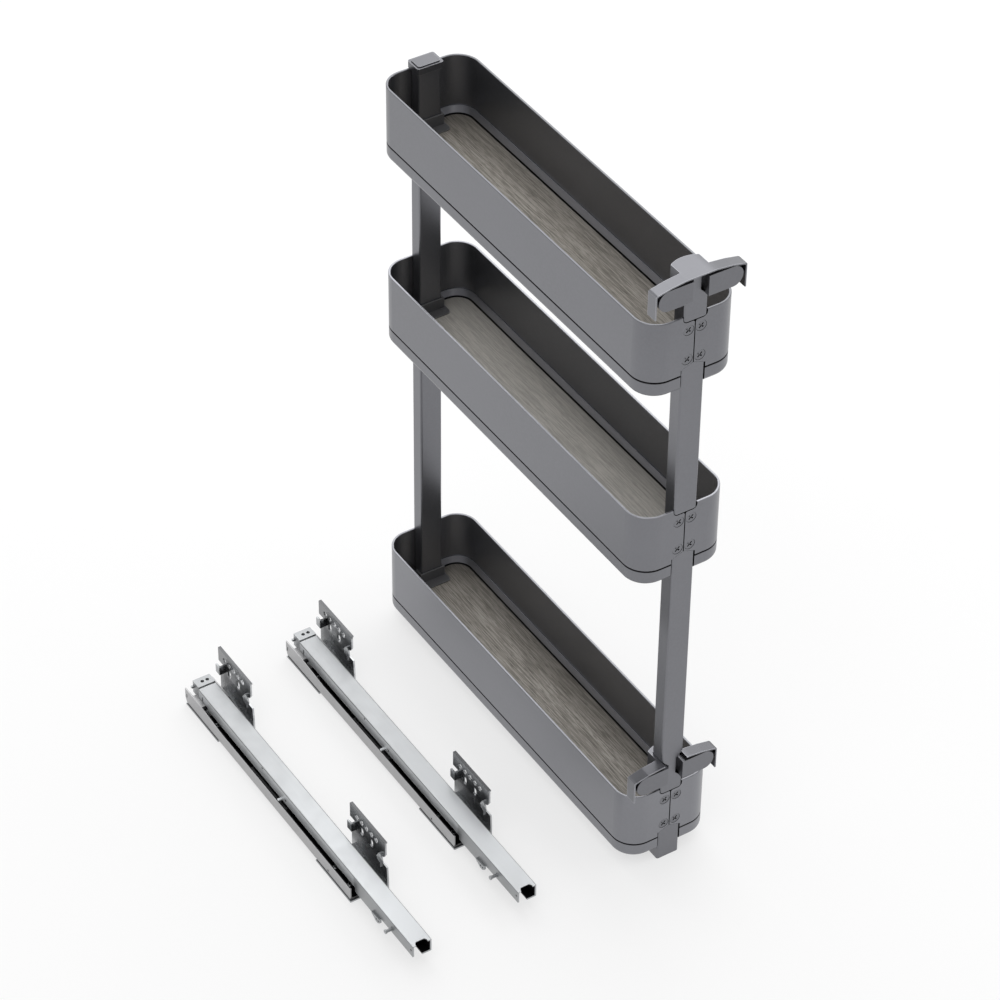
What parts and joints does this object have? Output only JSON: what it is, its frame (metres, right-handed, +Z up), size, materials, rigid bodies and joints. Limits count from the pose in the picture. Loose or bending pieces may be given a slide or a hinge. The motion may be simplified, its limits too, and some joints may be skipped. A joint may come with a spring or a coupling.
{
  "type": "pull-out bottle rack",
  "caption": "narrow pull-out kitchen rack: wood-floored open baskets on flat posts with door fittings, with its pair of ball-cage runners on perforated side brackets",
  "frame": {"origin": "middle of the five screw holes in the rear bracket of the right runner, on the plate's face towards the rack", "axes": "+Z up; -Y is the pull-out direction, towards the user; +X to the user's right, from the runners to the rack"},
  "size_m": [0.3513, 0.4686, 0.7173],
  "materials": {
    "post_paint": "satin grey powder coat",
    "band_paint": "satin grey powder coat on sheet",
    "tray_paint": "satin grey moulding",
    "screw_paint": "satin grey screw heads",
    "collar_grey": "matt grey moulding",
    "cap_plastic": "satin grey moulding",
    "lug_paint": "satin grey powder coat",
    "hood_plastic": "satin grey moulding",
    "floor_wood": "grey-brown wood grain board",
    "rail_zinc": "zinc-plated sheet steel",
    "slide_zinc": "zinc-plated sheet steel",
    "bracket_zinc": "polished zinc-plated sheet steel",
    "block_zinc": "zinc-plated steel",
    "rivet_zinc": "zinc-plated steel",
    "latch_steel": "zinc-plated steel",
    "cage_plastic": "black moulding",
    "ball_steel": "polished bearing balls"
  },
  "bodies": {
    "runner_mounts": {"left_cabinet_rail": "rail_zinc", "left_rear_bracket": "bracket_zinc", "left_front_bracket": "bracket_zinc", "left_bracket_rivets": "rivet_zinc", "right_cabinet_rail": "rail_zinc", "right_rear_bracket": "bracket_zinc", "right_front_bracket": "bracket_zinc", "right_bracket_rivets": "rivet_zinc"},
    "rack": {"front_post": "post_paint", "rear_post": "post_paint", "rear_post_cap": "cap_plastic", "top_band": "band_paint", "top_tray": "tray_paint", "top_floor_panel": "floor_wood", "top_post_collar": "collar_grey", "top_band_screws": "screw_paint", "middle_band": "band_paint", "middle_tray": "tray_paint", "middle_floor_panel": "floor_wood", "middle_post_collar": "collar_grey", "middle_band_screws": "screw_paint", "bottom_band": "band_paint", "bottom_tray": "tray_paint", "bottom_floor_panel": "floor_wood", "bottom_post_collar": "collar_grey", "bottom_band_screws": "screw_paint", "top_door_bracket": "lug_paint", "top_bracket_hood": "hood_plastic", "bottom_door_bracket": "lug_paint", "bottom_bracket_hood": "hood_plastic"},
    "left_slide": {"left_drawer_rail": "slide_zinc", "left_end_block": "block_zinc", "left_catch_pin": "latch_steel", "left_stop_latch": "latch_steel"},
    "left_cage": {"left_ball_cage": "cage_plastic", "left_balls": "ball_steel"},
    "right_slide": {"right_drawer_rail": "slide_zinc", "right_end_block": "block_zinc", "right_catch_pin": "latch_steel", "right_stop_latch": "latch_steel"},
    "right_cage": {"right_ball_cage": "cage_plastic", "right_balls": "ball_steel"}
  },
  "joints": [
    {"name": "rack_pull", "type": "slide", "parent": "runner_mounts", "child": "rack", "axis": [0, -1, 0], "range_m": [0, 0.26]},
    {"name": "left_slide_travel", "type": "slide", "parent": "runner_mounts", "child": "left_slide", "axis": [0, -1, 0], "range_m": [0, 0.26]},
    {"name": "left_cage_travel", "type": "slide", "parent": "runner_mounts", "child": "left_cage", "axis": [0, -1, 0], "range_m": [0, 0.13]},
    {"name": "right_slide_travel", "type": "slide", "parent": "runner_mounts", "child": "right_slide", "axis": [0, -1, 0], "range_m": [0, 0.26]},
    {"name": "right_cage_travel", "type": "slide", "parent": "runner_mounts", "child": "right_cage", "axis": [0, -1, 0], "range_m": [0, 0.13]}
  ],
  "couplings": [
    {"joint": "left_slide_travel", "follows": "rack_pull", "ratio": 1},
    {"joint": "left_cage_travel", "follows": "rack_pull", "ratio": 0.5},
    {"joint": "right_slide_travel", "follows": "rack_pull", "ratio": 1},
    {"joint": "right_cage_travel", "follows": "rack_pull", "ratio": 0.5}
  ]
}
